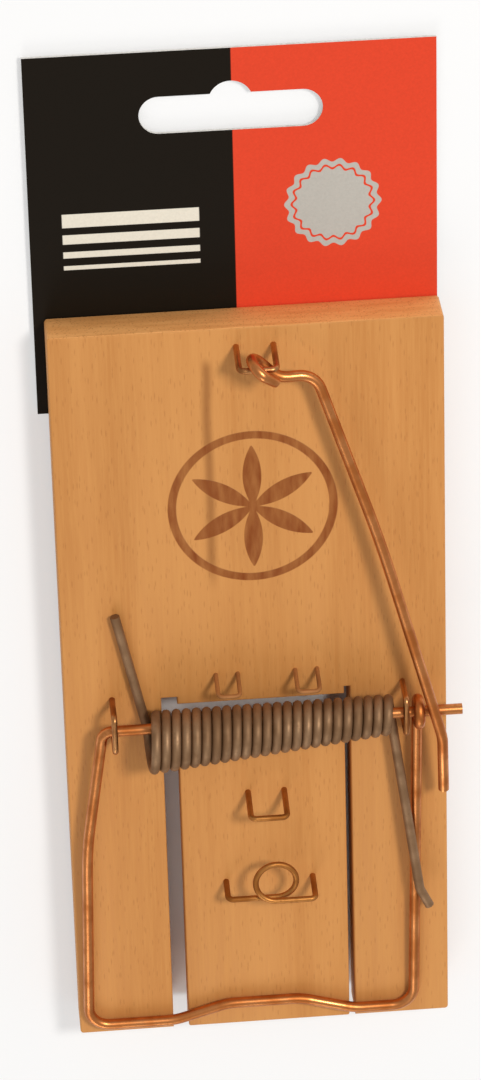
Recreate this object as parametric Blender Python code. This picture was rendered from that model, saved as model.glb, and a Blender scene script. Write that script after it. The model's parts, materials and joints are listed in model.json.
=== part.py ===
"""A wooden snap trap of rat size, with its hanging card, lying on its back with the jaw sprung.

Frame: metres, +X across the board, +Y toward the head end that carries the card and +Z up out
of the face. The origin is the centre of the board's underside.
"""
import math

import bmesh
import bpy
from mathutils import Matrix, Vector

MM = 0.001

# Fits
WIRE_GAP = 0.3 * MM
HOLE_CLEARANCE = 0.3 * MM
CUT_OVERSHOOT = 1.0 * MM

# Fineness of the round shapes
BEND_STEPS = 4
EYE_STEPS = 14
RING_STEPS = 18
SLOT_END_STEPS = 10
DRILL_SIDES = 12
CORNER_STEPS = 4
LEAST_BEND = math.radians(1)
BEND_SHARE_OF_RUN = 0.48

# Board
BOARD_WIDTH = 70 * MM
BOARD_LENGTH = 148 * MM
BOARD_THICKNESS = 8 * MM
BOARD_CORNER_RADIUS = 0.6 * MM

# Cut-out for the treadle, open at the foot end: two long saw cuts that run past one cross cut
CUTOUT_WIDTH = 34.6 * MM
CUTOUT_HEAD_Y = -2.5 * MM
SAW_CUT_OVERRUN = 1.5 * MM

# Treadle: sawn flush with the board, but thinner, so that its free end can drop to the floor
TREADLE_THICKNESS = 5 * MM
TREADLE_LEFT_GAP = 2.9 * MM
TREADLE_RIGHT_GAP = 1.1 * MM
TREADLE_HEAD_GAP = 4.7 * MM
PIVOT_WIRE_DIAMETER = 1.6 * MM
PIVOT_SETBACK = 3.0 * MM
PIVOT_DEPTH_IN_ARM = 8 * MM

# Jaw: one wire that is axle, two legs and crossbar, closed by an eye round its own axle
JAW_WIRE_DIAMETER = 2.0 * MM
AXLE_SETBACK = 1.7 * MM
AXLE_HEIGHT = 5.0 * MM
AXLE_LEFT_X = -28.4 * MM
AXLE_FREE_END_X = 37.3 * MM
JAW_SHOULDER_DROP = 26 * MM
JAW_SHOULDER_X = -32.2 * MM
JAW_LEFT_X = -33.5 * MM
JAW_RIGHT_X = 28.3 * MM
JAW_EYE_X = 29.3 * MM
JAW_FOOT_INSET = 1.6 * MM
JAW_BOW = 3.0 * MM
JAW_BOW_FLAT = 7.0 * MM
JAW_BOW_REACH = 17.0 * MM
JAW_CORNER_RADIUS = 2.0 * MM
JAW_SHOULDER_RADIUS = 90 * MM
JAW_BEND_RADIUS = 4.0 * MM
JAW_BOW_BEND_RADIUS = 12.0 * MM

# Torsion spring: a tapered coil round the axle with one arm on the board and one on the jaw
SPRING_WIRE_DIAMETER = 1.3 * MM
SPRING_TURNS = 24
SPRING_POINTS_PER_TURN = 9
SPRING_LEFT_X = -20.1 * MM
SPRING_RIGHT_X = 24.2 * MM
SPRING_LEFT_RADIUS = 5.25 * MM
SPRING_RIGHT_RADIUS = 3.1 * MM
SPRING_LEFT_OFFSET = (-2.2 * MM, 1.25 * MM)
SPRING_RIGHT_OFFSET = (-0.1 * MM, 0.3 * MM)
SPRING_BOARD_ARM_LENGTH = 24.0 * MM
SPRING_BOARD_ARM_SPREAD = 5.1 * MM
SPRING_JAW_ARM_LENGTH = 39.0 * MM
SPRING_JAW_ARM_TIP = 4.6 * MM
SPRING_JAW_ARM_TIP_HEADING = (0.4, -0.9, -0.1)
SPRING_BOARD_ARM_SEAT = 0.9 * MM
SPRING_JAW_ARM_SEAT = 1.35 * MM

# Staples, all of one wire but for the two thinner keepers
STAPLE_WIRE_DIAMETER = 1.1 * MM
STAPLE_BEND_RADIUS = 1.0 * MM
STAPLE_DEPTH = 5.0 * MM
JAW_STAPLE_LEFT_X = -26.3 * MM
JAW_STAPLE_RIGHT_X = 26.9 * MM
JAW_STAPLE_WIDTH = 7.4 * MM

BAR_STAPLE_FROM_HEAD = 3.7 * MM
BAR_STAPLE_LEFT_X = -1.8 * MM
BAR_STAPLE_RIGHT_X = 4.8 * MM
BAR_STAPLE_HEIGHT = 8.0 * MM
BAR_STAPLE_LEAN = 1.1 * MM

KEEPER_WIRE_DIAMETER = 0.8 * MM
KEEPER_FROM_CUTOUT = 5.9 * MM
KEEPER_LEFT_X = -5.2 * MM
KEEPER_RIGHT_X = 9.3 * MM
KEEPER_WIDTH = 4.0 * MM
KEEPER_HEIGHT = 6.5 * MM
KEEPER_LEAN = 1.2 * MM

# Catch and bait holder on the treadle, placed from its head end
TRIGGER_FROM_TREADLE_HEAD = 15.1 * MM
TRIGGER_X = 1.4 * MM
TRIGGER_WIDTH = 6.7 * MM
TRIGGER_HEIGHT = 7.5 * MM
TRIGGER_LEAN = 1.6 * MM
TREADLE_STAPLE_DEPTH = 3.6 * MM
BAIT_FROM_TREADLE_HEAD = 34.5 * MM
BAIT_X = 1.6 * MM
BAIT_WIDTH = 16.2 * MM
BAIT_HEIGHT = 5.4 * MM
BAIT_LEAN = 1.0 * MM
BAIT_RING_RADIUS = 3.8 * MM
BAIT_RING_X = 0.8 * MM

# Locking bar, hooked on the bar staple's crown and parked over the axle's free end
BAR_WIRE_DIAMETER = 2.0 * MM
BAR_EYE_X = 2.3 * MM
BAR_EYE_HEADING = math.radians(-45)
BAR_EYE_PLAY_UP = 0.95 * MM
BAR_EYE_PLAY_BACK = 0.36 * MM
BAR_EYE_LENGTH = 4.2 * MM
BAR_EYE_END = 3.0 * MM
BAR_EYE_END_GAP = 1.2 * MM
BAR_KNEE_X = 11.7 * MM
BAR_KNEE_FROM_STAPLE = 3.0 * MM
BAR_KNEE_DROP = 3.2 * MM
BAR_BOW = 1.1 * MM
BAR_BOW_SHARE = 0.45
BAR_BOW_RADIUS = 300.0 * MM
BAR_BEND_X = 33.4 * MM
BAR_BEND_PAST_AXLE = 4.4 * MM
BAR_TIP_X = 33.8 * MM
BAR_TIP_LENGTH = 12.4 * MM
BAR_TIP_SINK = 2.0 * MM
BAR_NECK_RADIUS = 4.2 * MM
BAR_BEND_RADIUS = 9 * MM

# Hanging card, stapled to the underside of the head end
CARD_WIDTH = 71.6 * MM
CARD_HEIGHT = 69 * MM
CARD_THICKNESS = 0.6 * MM
CARD_OVERLAP = 19.2 * MM
CARD_X = -1.0 * MM
CARD_TURN = math.radians(-0.2)
CARD_GAP = 0.2 * MM
CARD_EDGE_MARGIN = 2.0 * MM
HANG_SLOT_WIDTH = 32 * MM
HANG_SLOT_HEIGHT = 7.0 * MM
HANG_SLOT_BUMP_RADIUS = 3.9 * MM
HANG_SLOT_BUMP_RISE = 1.9 * MM
HANG_SLOT_FROM_TOP = 12.0 * MM
CARD_STAPLE_WIRE_DIAMETER = 0.8 * MM
CARD_STAPLE_BEND_RADIUS = 0.5 * MM
CARD_STAPLE_WIDTH = 9 * MM
CARD_STAPLE_FROM_SIDE = 12.8 * MM
CARD_STAPLE_FROM_EDGE = 9 * MM
CARD_STAPLE_DEPTH = 4.5 * MM

# Places worked out from the sizes above
FACE_Z = BOARD_THICKNESS
HEAD_Y = BOARD_LENGTH / 2
FOOT_Y = -BOARD_LENGTH / 2
AXLE_Y = CUTOUT_HEAD_Y - AXLE_SETBACK
AXLE_Z = FACE_Z + AXLE_HEIGHT
JAW_RADIUS = JAW_WIRE_DIAMETER / 2
JAW_EYE_RADIUS = JAW_WIRE_DIAMETER + WIRE_GAP
CROSSBAR_Y = FOOT_Y + JAW_FOOT_INSET + JAW_RADIUS
CROSSBAR_Z = FACE_Z + WIRE_GAP + JAW_RADIUS
TREADLE_LEFT_X = -CUTOUT_WIDTH / 2 + TREADLE_LEFT_GAP
TREADLE_RIGHT_X = CUTOUT_WIDTH / 2 - TREADLE_RIGHT_GAP
TREADLE_HEAD_Y = CUTOUT_HEAD_Y - TREADLE_HEAD_GAP
PIVOT_Y = TREADLE_HEAD_Y - PIVOT_SETBACK
PIVOT_Z = FACE_Z - TREADLE_THICKNESS / 2
BAR_STAPLE_Y = HEAD_Y - BAR_STAPLE_FROM_HEAD
CROWN_Y = BAR_STAPLE_Y - BAR_STAPLE_LEAN
CROWN_Z = FACE_Z + BAR_STAPLE_HEIGHT - STAPLE_WIRE_DIAMETER / 2
CARD_LOW_Y = HEAD_Y - CARD_OVERLAP
CARD_HIGH_Y = CARD_LOW_Y + CARD_HEIGHT
CARD_TOP_Z = -CARD_GAP
CARD_BOTTOM_Z = CARD_TOP_Z - CARD_THICKNESS


def clear_scene():
    for thing in list(bpy.data.objects):
        bpy.data.objects.remove(thing, do_unlink=True)


def make_material(name, colour, roughness, metallic):
    material = bpy.data.materials.new(name)
    material.use_nodes = True
    shader = material.node_tree.nodes["Principled BSDF"]
    shader.inputs["Base Color"].default_value = (*colour, 1.0)
    shader.inputs["Roughness"].default_value = roughness
    shader.inputs["Metallic"].default_value = metallic
    material.diffuse_color = (*colour, 1.0)
    return material


def link(name, data, material=None, parent=None):
    thing = bpy.data.objects.new(name, data)
    bpy.context.scene.collection.objects.link(thing)
    if material:
        data.materials.append(material)
    if parent:
        thing.parent = parent
    return thing


def make_empty(name, place):
    """A pivot that other things hang on."""
    pivot = link(name, None)
    pivot.location = place
    return pivot


def finish_mesh(bm, name):
    bmesh.ops.recalc_face_normals(bm, faces=bm.faces)
    mesh = bpy.data.meshes.new(name)
    bm.to_mesh(mesh)
    bm.free()
    return mesh


def prism(outline, low_z, high_z, name):
    """Closed prism on a flat outline of (x, y) points."""
    bm = bmesh.new()
    corners = [bm.verts.new((x, y, low_z)) for x, y in outline]
    base = bm.faces.new(corners)
    walls = bmesh.ops.extrude_face_region(bm, geom=[base])
    raised = [item for item in walls["geom"] if isinstance(item, bmesh.types.BMVert)]
    bmesh.ops.translate(bm, verts=raised, vec=(0, 0, high_z - low_z))
    return finish_mesh(bm, name)


def arc(centre_x, centre_y, radius, start, end, steps):
    """Points of a flat arc, both ends included."""
    angles = [start + (end - start) * step / steps for step in range(steps + 1)]
    return [(centre_x + radius * math.cos(a), centre_y + radius * math.sin(a)) for a in angles]


def rounded(points, radius):
    """A path through the points with each corner turned on an arc."""
    path = [Vector(points[0])]
    for before, corner, after in zip(points, points[1:], points[2:]):
        corner = Vector(corner)
        back = Vector(before) - corner
        ahead = Vector(after) - corner
        turn = math.pi - back.angle(ahead)
        if turn < LEAST_BEND:
            path.append(corner)
            continue
        room = BEND_SHARE_OF_RUN * min(back.length, ahead.length)
        setback = min(radius * math.tan(turn / 2), room)
        start = corner + back.normalized() * setback
        end = corner + ahead.normalized() * setback
        bend = setback / math.tan(turn / 2)
        inward = (back.normalized() + ahead.normalized()).normalized()
        centre = corner + inward * (bend / math.cos(turn / 2))
        axis = (start - centre).cross(end - centre).normalized()
        for step in range(BEND_STEPS + 1):
            spoke = Matrix.Rotation(turn * step / BEND_STEPS, 3, axis) @ (start - centre)
            path.append(centre + spoke)
    path.append(Vector(points[-1]))
    return path


def wire(name, path, diameter, material, parent=None, resolution=2):
    """A round wire along the path, with closed ends."""
    curve = bpy.data.curves.new(name, "CURVE")
    curve.dimensions = "3D"
    curve.bevel_depth = diameter / 2
    curve.bevel_resolution = resolution
    curve.use_fill_caps = True
    spline = curve.splines.new("POLY")
    spline.points.add(len(path) - 1)
    for point, place in zip(spline.points, path):
        point.co = (*place, 1.0)
    spline.use_smooth = True
    return link(name, curve, material, parent)


def add_drill(bm, start, end, diameter):
    """Adds one closed drill of the given diameter, from start to end."""
    start = Vector(start)
    run = Vector(end) - start
    turn = run.to_track_quat("Z", "Y").to_matrix().to_4x4()
    place = Matrix.Translation(start + run / 2) @ turn
    radius = diameter / 2
    bmesh.ops.create_cone(bm, cap_ends=True, segments=DRILL_SIDES, radius1=radius, radius2=radius,
                          depth=run.length, matrix=place)


def cut(target, name, mesh, parent=None):
    """Cuts the mesh out of the target, and keeps it as a hidden guide."""
    cutter = link(name, mesh, parent=parent)
    cutter.hide_render = True
    cutter.display_type = "WIRE"
    modifier = target.modifiers.new(name, "BOOLEAN")
    modifier.operation = "DIFFERENCE"
    modifier.object = cutter


def split_across(thing, y):
    """Applies the thing's cuts, then parts its faces along a line across the board."""
    bpy.context.view_layer.update()
    shaped = thing.evaluated_get(bpy.context.evaluated_depsgraph_get())
    bm = bmesh.new()
    bm.from_mesh(shaped.to_mesh())
    geometry = bm.verts[:] + bm.edges[:] + bm.faces[:]
    bmesh.ops.bisect_plane(bm, geom=geometry, plane_co=(0, y, 0), plane_no=(0, 1, 0))
    thing.modifiers.clear()
    bm.to_mesh(thing.data)
    bm.free()


def staple_path(feet, seat_z, height, lean, depth, diameter):
    """A staple on two feet, driven straight in, its crown leaning toward -Y."""
    (left_x, left_y), (right_x, right_y) = feet
    crown_z = seat_z + height - diameter / 2
    low_z = seat_z - depth
    points = [
        (left_x, left_y, low_z),
        (left_x, left_y, seat_z),
        (left_x, left_y - lean, crown_z),
        (right_x, right_y - lean, crown_z),
        (right_x, right_y, seat_z),
        (right_x, right_y, low_z),
    ]
    return rounded(points, STAPLE_BEND_RADIUS)


def pair(centre_x, width, y):
    """Two feet side by side across the board."""
    return (centre_x - width / 2, y), (centre_x + width / 2, y)


def jaw_staple_feet(x):
    """Feet on either side of the axle."""
    return (x, AXLE_Y + JAW_STAPLE_WIDTH / 2), (x, AXLE_Y - JAW_STAPLE_WIDTH / 2)


def board_staples():
    """Feet, height, lean and wire of every staple driven into the board's face."""
    jaw_height = AXLE_HEIGHT + JAW_RADIUS + WIRE_GAP + STAPLE_WIRE_DIAMETER
    keeper_y = CUTOUT_HEAD_Y + KEEPER_FROM_CUTOUT
    bar_feet = ((BAR_STAPLE_LEFT_X, BAR_STAPLE_Y), (BAR_STAPLE_RIGHT_X, BAR_STAPLE_Y))
    keeper_left = pair(KEEPER_LEFT_X, KEEPER_WIDTH, keeper_y)
    keeper_right = pair(KEEPER_RIGHT_X, KEEPER_WIDTH, keeper_y)
    jaw_left = jaw_staple_feet(JAW_STAPLE_LEFT_X)
    jaw_right = jaw_staple_feet(JAW_STAPLE_RIGHT_X)
    return {
        "jaw_staple_left": (jaw_left, jaw_height, 0.0, STAPLE_WIRE_DIAMETER),
        "jaw_staple_right": (jaw_right, jaw_height, 0.0, STAPLE_WIRE_DIAMETER),
        "bar_staple": (bar_feet, BAR_STAPLE_HEIGHT, BAR_STAPLE_LEAN, STAPLE_WIRE_DIAMETER),
        "keeper_staple_left": (keeper_left, KEEPER_HEIGHT, KEEPER_LEAN, KEEPER_WIRE_DIAMETER),
        "keeper_staple_right": (keeper_right, KEEPER_HEIGHT, KEEPER_LEAN, KEEPER_WIRE_DIAMETER),
    }


def card_staples():
    """Feet of the two staples that hold the card, driven up from below."""
    y = CARD_LOW_Y + CARD_STAPLE_FROM_EDGE
    half = CARD_WIDTH / 2 - CARD_STAPLE_FROM_SIDE
    return {
        "card_staple_left": pair(CARD_X - half, CARD_STAPLE_WIDTH, y),
        "card_staple_right": pair(CARD_X + half, CARD_STAPLE_WIDTH, y),
    }


def make_board(wood):
    """The board with its rounded corners, its cut-out and the holes for staples and pivot."""
    side = BOARD_WIDTH / 2
    slot = CUTOUT_WIDTH / 2
    radius = BOARD_CORNER_RADIUS
    quarter = math.pi / 2
    saw_end = CUTOUT_HEAD_Y + SAW_CUT_OVERRUN
    outline = [(-slot, FOOT_Y), (-slot, saw_end), (TREADLE_LEFT_X, saw_end),
               (TREADLE_LEFT_X, CUTOUT_HEAD_Y), (TREADLE_RIGHT_X, CUTOUT_HEAD_Y),
               (TREADLE_RIGHT_X, saw_end), (slot, saw_end), (slot, FOOT_Y)]
    corners = [(side, FOOT_Y, -quarter), (side, HEAD_Y, 0.0), (-side, HEAD_Y, quarter),
               (-side, FOOT_Y, 2 * quarter)]
    for x, y, start in corners:
        centre_x = x - math.copysign(radius, x)
        centre_y = y - math.copysign(radius, y)
        outline += arc(centre_x, centre_y, radius, start, start + quarter, CORNER_STEPS)
    board = link("base_board", prism(outline, 0.0, BOARD_THICKNESS, "base_board"), wood)

    drills = bmesh.new()
    low = FACE_Z - STAPLE_DEPTH - HOLE_CLEARANCE
    for feet, _, _, diameter in board_staples().values():
        for x, y in feet:
            add_drill(drills, (x, y, low), (x, y, FACE_Z + CUT_OVERSHOOT),
                      diameter + 2 * HOLE_CLEARANCE)
    card_bore = CARD_STAPLE_WIRE_DIAMETER + 2 * HOLE_CLEARANCE
    for feet in card_staples().values():
        for x, y in feet:
            high = CARD_STAPLE_DEPTH + HOLE_CLEARANCE
            add_drill(drills, (x, y, -CUT_OVERSHOOT), (x, y, high), card_bore)
    reach = slot + PIVOT_DEPTH_IN_ARM + HOLE_CLEARANCE
    add_drill(drills, (-reach, PIVOT_Y, PIVOT_Z), (reach, PIVOT_Y, PIVOT_Z),
              PIVOT_WIRE_DIAMETER + 2 * HOLE_CLEARANCE)
    cut(board, "board_drills", finish_mesh(drills, "board_drills"))
    split_across(board, CARD_LOW_Y - CARD_EDGE_MARGIN)


def make_board_staples(steel):
    for name, (feet, height, lean, diameter) in board_staples().items():
        path = staple_path(feet, FACE_Z, height, lean, STAPLE_DEPTH, diameter)
        wire(name, path, diameter, steel)


def treadle_staple_feet():
    """Feet of the catch and of the bait holder, in the treadle's own frame."""
    head = TREADLE_HEAD_Y - PIVOT_Y
    trigger = pair(TRIGGER_X, TRIGGER_WIDTH, head - TRIGGER_FROM_TREADLE_HEAD)
    bait = pair(BAIT_X, BAIT_WIDTH, head - BAIT_FROM_TREADLE_HEAD)
    return trigger, bait


def bait_path(feet, seat_z):
    """A staple whose crown makes one full turn round a level ring."""
    (left_x, y), (right_x, _) = feet
    low_z = seat_z - TREADLE_STAPLE_DEPTH
    crown_y = y - BAIT_LEAN
    low_crown = seat_z + BAIT_HEIGHT - STAPLE_WIRE_DIAMETER / 2
    rise = STAPLE_WIRE_DIAMETER + WIRE_GAP
    ring_x = BAIT_X + BAIT_RING_X
    entry = (ring_x, crown_y, low_crown)
    left = rounded([(left_x, y, low_z), (left_x, y, seat_z), (left_x, crown_y, low_crown), entry],
                   STAPLE_BEND_RADIUS)
    ring = []
    for step in range(1, RING_STEPS):
        angle = 2 * math.pi * step / RING_STEPS - math.pi / 2
        ring.append(Vector((ring_x + BAIT_RING_RADIUS * math.cos(angle),
                            crown_y + BAIT_RING_RADIUS * (1 + math.sin(angle)),
                            low_crown + rise * step / RING_STEPS)))
    leave = (ring_x, crown_y, low_crown + rise)
    right = rounded([leave, (right_x, crown_y, low_crown + rise), (right_x, y, seat_z),
                     (right_x, y, low_z)], STAPLE_BEND_RADIUS)
    return left + ring + right


def make_treadle(wood, steel):
    """The treadle with its catch and bait holder, hung on its pivot wire level with the board."""
    hinge = make_empty("treadle_hinge", (0.0, PIVOT_Y, PIVOT_Z))
    half = TREADLE_THICKNESS / 2
    head = TREADLE_HEAD_Y - PIVOT_Y
    foot = FOOT_Y - PIVOT_Y
    outline = [(TREADLE_LEFT_X, foot), (TREADLE_RIGHT_X, foot),
               (TREADLE_RIGHT_X, head), (TREADLE_LEFT_X, head)]
    treadle = link("treadle", prism(outline, -half, half, "treadle"), wood, hinge)

    trigger, bait = treadle_staple_feet()
    drills = bmesh.new()
    bore = STAPLE_WIRE_DIAMETER + 2 * HOLE_CLEARANCE
    for x, y in (*trigger, *bait):
        low = half - TREADLE_STAPLE_DEPTH - HOLE_CLEARANCE
        add_drill(drills, (x, y, low), (x, y, half + CUT_OVERSHOOT), bore)
    add_drill(drills, (TREADLE_LEFT_X - CUT_OVERSHOOT, 0, 0),
              (TREADLE_RIGHT_X + CUT_OVERSHOOT, 0, 0),
              PIVOT_WIRE_DIAMETER + 2 * HOLE_CLEARANCE)
    cut(treadle, "treadle_drills", finish_mesh(drills, "treadle_drills"), hinge)

    path = staple_path(trigger, half, TRIGGER_HEIGHT, TRIGGER_LEAN, TREADLE_STAPLE_DEPTH,
                       STAPLE_WIRE_DIAMETER)
    wire("trigger_staple", path, STAPLE_WIRE_DIAMETER, steel, hinge)
    wire("bait_holder", bait_path(bait, half), STAPLE_WIRE_DIAMETER, steel, hinge)

    reach = CUTOUT_WIDTH / 2 + PIVOT_DEPTH_IN_ARM
    wire("treadle_pivot", [(-reach, PIVOT_Y, PIVOT_Z), (reach, PIVOT_Y, PIVOT_Z)],
         PIVOT_WIRE_DIAMETER, steel)


def jaw_right_leg_z(y):
    """Height of the right leg's centre line at a place along the board."""
    eye_z = AXLE_Z - JAW_EYE_RADIUS
    share = (AXLE_Y - y) / (AXLE_Y - CROSSBAR_Y)
    return eye_z + (CROSSBAR_Z - eye_z) * share


def make_jaw(copper):
    """Axle, left leg, bowed crossbar, right leg and the eye round the axle, as one wire."""
    hinge = make_empty("jaw_hinge", (0.0, AXLE_Y, AXLE_Z))
    shoulder_y = AXLE_Y - JAW_SHOULDER_DROP
    share = JAW_SHOULDER_DROP / (AXLE_Y - CROSSBAR_Y)
    shoulder_z = AXLE_Z + (CROSSBAR_Z - AXLE_Z) * share
    bow_y = CROSSBAR_Y + JAW_BOW
    shoulder = (JAW_SHOULDER_X, shoulder_y, shoulder_z)
    foot = (JAW_LEFT_X, CROSSBAR_Y, CROSSBAR_Z)
    shin = (Vector(shoulder) + Vector(foot)) / 2
    axle = [
        (AXLE_FREE_END_X, AXLE_Y, AXLE_Z),
        (AXLE_LEFT_X, AXLE_Y, AXLE_Z),
        shoulder,
    ]
    left_leg = [(AXLE_LEFT_X, AXLE_Y, AXLE_Z), shoulder, shin]
    left_foot = [shin, foot, (-JAW_BOW_REACH, CROSSBAR_Y, CROSSBAR_Z)]
    crossbar = [
        (JAW_LEFT_X / 2 - JAW_BOW_REACH / 2, CROSSBAR_Y, CROSSBAR_Z),
        (-JAW_BOW_REACH, CROSSBAR_Y, CROSSBAR_Z),
        (-JAW_BOW_FLAT, bow_y, CROSSBAR_Z),
        (JAW_BOW_FLAT, bow_y, CROSSBAR_Z),
        (JAW_BOW_REACH, CROSSBAR_Y, CROSSBAR_Z),
        (JAW_RIGHT_X / 2 + JAW_BOW_REACH / 2, CROSSBAR_Y, CROSSBAR_Z),
    ]
    right_leg = [
        (JAW_BOW_REACH, CROSSBAR_Y, CROSSBAR_Z),
        (JAW_RIGHT_X, CROSSBAR_Y, CROSSBAR_Z),
        (JAW_EYE_X, AXLE_Y, AXLE_Z - JAW_EYE_RADIUS),
    ]
    path = rounded(axle, JAW_CORNER_RADIUS)[:-1]
    path += rounded(left_leg, JAW_SHOULDER_RADIUS)[1:-1]
    path += rounded(left_foot, JAW_BEND_RADIUS)[1:-1]
    path += rounded(crossbar, JAW_BOW_BEND_RADIUS)
    path += rounded(right_leg, JAW_BEND_RADIUS)[1:]
    for y, z in arc(AXLE_Y, AXLE_Z, JAW_EYE_RADIUS, -math.pi / 2, math.pi, EYE_STEPS)[1:]:
        path.append(Vector((JAW_EYE_X, y, z)))
    pivot = Vector((0.0, AXLE_Y, AXLE_Z))
    wire("jaw", [place - pivot for place in path], JAW_WIRE_DIAMETER, copper, hinge)


def spring_point(share):
    """A point of the coil's centre line, from its left end at 0 to its right end at 1."""
    angle = math.radians(270) - 2 * math.pi * SPRING_TURNS * share
    radius = SPRING_LEFT_RADIUS + (SPRING_RIGHT_RADIUS - SPRING_LEFT_RADIUS) * share
    offset_y = SPRING_LEFT_OFFSET[0] + (SPRING_RIGHT_OFFSET[0] - SPRING_LEFT_OFFSET[0]) * share
    offset_z = SPRING_LEFT_OFFSET[1] + (SPRING_RIGHT_OFFSET[1] - SPRING_LEFT_OFFSET[1]) * share
    return Vector((SPRING_LEFT_X + (SPRING_RIGHT_X - SPRING_LEFT_X) * share,
                   AXLE_Y + offset_y + radius * math.cos(angle),
                   AXLE_Z + offset_z + radius * math.sin(angle)))


def least_gap(path, diameter, skip):
    """Least gap between stretches of a wire that lie more than skip points apart."""
    nearest = min((path[i] - path[j]).length
                  for i in range(len(path)) for j in range(i + skip, len(path)))
    return nearest - diameter


def make_spring(steel):
    """A tapered torsion spring: board arm, coil and jaw arm in one wire."""
    count = SPRING_TURNS * SPRING_POINTS_PER_TURN
    coil = [spring_point(step / count) for step in range(count + 1)]
    start, end = coil[0], coil[-1]
    board_tip = Vector((start.x - SPRING_BOARD_ARM_SPREAD, start.y + SPRING_BOARD_ARM_LENGTH,
                        FACE_Z + SPRING_BOARD_ARM_SEAT))
    cross_y = end.y - SPRING_JAW_ARM_LENGTH
    ride_z = jaw_right_leg_z(cross_y) + JAW_RADIUS + SPRING_JAW_ARM_SEAT
    cross = Vector((JAW_EYE_X, cross_y, ride_z))
    jaw_tip = cross + Vector(SPRING_JAW_ARM_TIP_HEADING).normalized() * SPRING_JAW_ARM_TIP
    path = [board_tip] + coil + [cross, jaw_tip]
    gap = least_gap(coil, SPRING_WIRE_DIAMETER, SPRING_POINTS_PER_TURN // 2)
    print(f"spring: least gap of the wire to itself {gap / MM:.2f} mm")
    wire("spring", path, SPRING_WIRE_DIAMETER, steel, resolution=1)


def make_locking_bar(copper):
    """A bar with an upright eye round the staple's crown, laid over the axle's free end."""
    hinge = make_empty("bar_hinge", (0.0, CROWN_Y, CROWN_Z))
    heading = Vector((math.cos(BAR_EYE_HEADING), math.sin(BAR_EYE_HEADING), 0.0))
    crown = Vector((BAR_EYE_X, CROWN_Y, CROWN_Z))
    up = Vector((0.0, 0.0, 1.0))

    def in_eye(along, rise):
        return crown + heading * along + up * rise

    wires = (STAPLE_WIRE_DIAMETER + BAR_WIRE_DIAMETER) / 2
    half_height = wires + BAR_EYE_PLAY_UP
    back = (wires + BAR_EYE_PLAY_BACK) / abs(math.sin(BAR_EYE_HEADING))
    end_rise = BAR_WIRE_DIAMETER + BAR_EYE_END_GAP - half_height
    path = [in_eye(BAR_EYE_END, end_rise)]
    for step in range(EYE_STEPS + 1):
        angle = math.pi / 2 + math.pi * step / EYE_STEPS
        path.append(in_eye(back * math.cos(angle), half_height * math.sin(angle)))

    over_axle_z = AXLE_Z + JAW_RADIUS + WIRE_GAP + BAR_WIRE_DIAMETER / 2
    neck = in_eye(BAR_EYE_LENGTH, -half_height)
    knee = Vector((BAR_KNEE_X, CROWN_Y - BAR_KNEE_FROM_STAPLE, CROWN_Z - BAR_KNEE_DROP))
    climb = (over_axle_z - knee.z) / (knee.y - AXLE_Y)
    bend = Vector((BAR_BEND_X, AXLE_Y - BAR_BEND_PAST_AXLE, over_axle_z + climb * BAR_BEND_PAST_AXLE))
    middle = knee.lerp(bend, BAR_BOW_SHARE) + Vector((BAR_BOW, 0.0, 0.0))
    tip = (BAR_TIP_X, bend.y - BAR_TIP_LENGTH, over_axle_z - BAR_TIP_SINK)
    path += rounded([path[-1], neck, knee, middle], BAR_NECK_RADIUS)[1:-1]
    path += rounded([knee, middle, bend], BAR_BOW_RADIUS)[1:-1]
    path += rounded([middle, bend, tip], BAR_BEND_RADIUS)[1:]
    pivot = Vector((0.0, CROWN_Y, CROWN_Z))
    wire("locking_bar", [place - pivot for place in path], BAR_WIRE_DIAMETER, copper, hinge)


def make_card(paper, steel):
    """The hanging card with its slot, and the two staples that hold it."""
    turn = make_empty("card_turn", (CARD_X, (CARD_LOW_Y + CARD_HIGH_Y) / 2, 0.0))
    turn.rotation_euler.z = CARD_TURN
    side = CARD_WIDTH / 2
    end = CARD_HEIGHT / 2
    outline = [(-side, -end), (side, -end), (side, end), (-side, end)]
    card = link("header_card", prism(outline, CARD_BOTTOM_Z, CARD_TOP_Z, "header_card"), paper, turn)

    slot_y = end - HANG_SLOT_FROM_TOP
    end_radius = HANG_SLOT_HEIGHT / 2
    reach = HANG_SLOT_WIDTH / 2 - end_radius
    quarter = math.pi / 2
    slot = arc(reach, slot_y, end_radius, -quarter, quarter, SLOT_END_STEPS)
    slot += arc(-reach, slot_y, end_radius, quarter, 3 * quarter, SLOT_END_STEPS)
    low_z = CARD_BOTTOM_Z - CUT_OVERSHOOT
    high_z = CARD_TOP_Z + CUT_OVERSHOOT
    cut(card, "hang_slot", prism(slot, low_z, high_z, "hang_slot"), turn)
    bump = arc(0.0, slot_y + HANG_SLOT_BUMP_RISE, HANG_SLOT_BUMP_RADIUS, 0, 4 * quarter,
               2 * SLOT_END_STEPS)
    cut(card, "hang_bump", prism(bump[:-1], low_z, high_z, "hang_bump"), turn)

    drills = bmesh.new()
    bore = CARD_STAPLE_WIRE_DIAMETER + 2 * HOLE_CLEARANCE
    crown_z = CARD_BOTTOM_Z - CARD_GAP - CARD_STAPLE_WIRE_DIAMETER / 2
    for name, ((left_x, y), (right_x, _)) in card_staples().items():
        for x in (left_x, right_x):
            add_drill(drills, (x, y, low_z), (x, y, high_z), bore)
        path = rounded([(left_x, y, CARD_STAPLE_DEPTH), (left_x, y, crown_z),
                        (right_x, y, crown_z), (right_x, y, CARD_STAPLE_DEPTH)],
                       CARD_STAPLE_BEND_RADIUS)
        wire(name, path, CARD_STAPLE_WIRE_DIAMETER, steel)
    cut(card, "card_drills", finish_mesh(drills, "card_drills"))


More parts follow.
